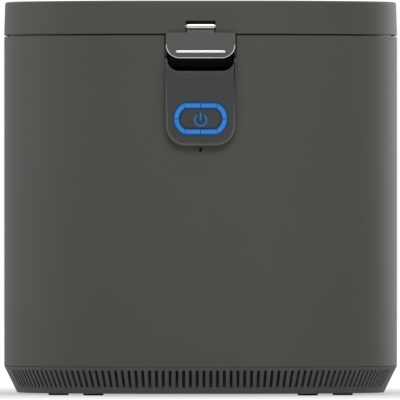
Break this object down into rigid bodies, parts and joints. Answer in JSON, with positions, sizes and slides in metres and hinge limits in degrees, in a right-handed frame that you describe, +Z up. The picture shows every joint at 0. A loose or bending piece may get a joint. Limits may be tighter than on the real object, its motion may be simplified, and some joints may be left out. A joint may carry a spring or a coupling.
{
  "type": "electric food waste composter",
  "caption": "Countertop food waste composter: rounded upright body, hinged lid with front latch, lit power button, lift-out bucket with geared agitator, vented skirt and rear filters.",
  "frame": {"origin": "on the table under the middle of the machine's bounding box", "axes": "+Z up, -Y out of the front with the latch and button, +X to the viewer's right"},
  "size_m": [0.33, 0.362, 0.3293],
  "materials": {
    "body_grey": "fine matte moulded ABS, warm dark grey",
    "tray_grey": "matte moulded ABS, a little darker",
    "inner_grey": "matte moulded polypropylene, charcoal",
    "scoop_black": "smooth black ABS",
    "panel_grey": "satin dark grey ABS",
    "ring_blue": "frosted polycarbonate, lit blue",
    "rubber_black": "matte black rubber",
    "latch_grey": "dark grey anodised, satin",
    "polished_steel": "polished stainless steel",
    "steel": "turned or drawn steel",
    "spring_steel": "drawn spring wire",
    "sheet_aluminium": "deep-drawn sheet",
    "coated_aluminium": "dark non-stick coating, fine speckle",
    "bronze": "sintered bronze",
    "gear_steel": "machined, oiled",
    "motor_can": "zinc-plated steel can",
    "board_green": "glass-epoxy board with green mask",
    "component_black": "moulded black components",
    "led_white": "white LED package",
    "filter_white": "moulded white cartridge",
    "inlet_black": "black nylon",
    "nickel": "nickel-plated brass"
  },
  "bodies": {
    "housing": {"base_tray": "tray_grey", "rubber_feet": "rubber_black", "outer_casing": "body_grey", "top_deck": "inner_grey", "intake_grille": "inner_grey", "deck_screws": "steel", "finger_scoop": "scoop_black", "control_panel": "panel_grey", "light_guide": "ring_blue", "tact_switch": "component_black", "button_spring": "spring_steel", "control_board": "board_green", "ring_leds": "led_white", "board_screws": "steel", "well": "sheet_aluminium", "heater_plate": "sheet_aluminium", "bucket": "coated_aluminium", "bucket_handle": "steel", "shaft_bearings": "bronze", "shaft_seal": "rubber_black", "idler_shaft": "steel", "motor": "motor_can", "gearbox_base": "inner_grey", "gearbox_cover": "inner_grey", "gearbox_screws": "steel", "air_duct": "inner_grey", "fan_frame": "inner_grey", "filter_chamber": "inner_grey", "carbon_filters": "filter_white", "power_inlet": "inlet_black", "inlet_pins": "nickel", "power_board": "board_green", "board_components": "component_black", "keeper_spring": "spring_steel", "keeper_screws": "steel", "lid_sensor": "component_black", "hinge_pin": "steel"},
    "lid": {"lid_shell": "body_grey", "lid_liner": "inner_grey", "lid_gasket": "rubber_black", "liner_screws": "steel", "lid_magnet": "nickel", "latch_pin": "steel", "latch_spring": "spring_steel"},
    "latch": {"latch_lever": "latch_grey", "latch_barrel": "polished_steel"},
    "button": {"power_button": "panel_grey", "switch_plunger": "component_black"},
    "agitator": {"agitator": "coated_aluminium", "agitator_spindle": "steel", "bucket_coupling": "gear_steel", "drive_dog": "gear_steel", "output_shaft": "steel", "output_gear": "gear_steel"},
    "idler": {"cluster_gear": "gear_steel"},
    "rotor": {"motor_pinion": "gear_steel", "motor_shaft": "steel"},
    "fan": {"fan_impeller": "inner_grey"},
    "rear_cover": {"filter_cover": "body_grey"}
  },
  "joints": [
    {"name": "lid_hinge", "type": "hinge", "parent": "housing", "child": "lid", "pos_m": [0, 0.177, 0.30125], "axis": [-1, 0, 0], "range_deg": [0, 95], "deforming": ["keeper_spring"]},
    {"name": "latch_pivot", "type": "hinge", "parent": "lid", "child": "latch", "pos_m": [0, -0.1715, 0.3077], "axis": [-1, 0, 0], "range_deg": [0, 60], "stiffness_Nm_per_rad": 0.05, "springref_deg": -11.46, "deforming": ["latch_spring", "keeper_spring"]},
    {"name": "button_press", "type": "slide", "parent": "housing", "child": "button", "axis": [0, 1, 0], "range_m": [0, 0.0008], "stiffness_N_per_m": 800, "springref_m": -0.0005, "deforming": ["button_spring"]},
    {"name": "agitator_spin", "type": "hinge", "parent": "housing", "child": "agitator", "pos_m": [0, -0.038, 0.15], "axis": [0, 0, 1], "continuous": true},
    {"name": "idler_spin", "type": "hinge", "parent": "housing", "child": "idler", "pos_m": [0, 0.034, 0.025], "axis": [0, 0, 1], "continuous": true},
    {"name": "motor_spin", "type": "hinge", "parent": "housing", "child": "rotor", "pos_m": [0, 0.079, 0.06], "axis": [0, 0, 1], "continuous": true},
    {"name": "fan_spin", "type": "hinge", "parent": "housing", "child": "fan", "pos_m": [0, 0.133, 0.13], "axis": [0, 0, 1], "continuous": true},
    {"name": "filter_cover_pull", "type": "slide", "parent": "housing", "child": "rear_cover", "axis": [0, 1, 0], "range_m": [0, 0.05]}
  ],
  "couplings": [
    {"joint": "idler_spin", "follows": "agitator_spin", "ratio": -5},
    {"joint": "motor_spin", "follows": "agitator_spin", "ratio": 25}
  ]
}
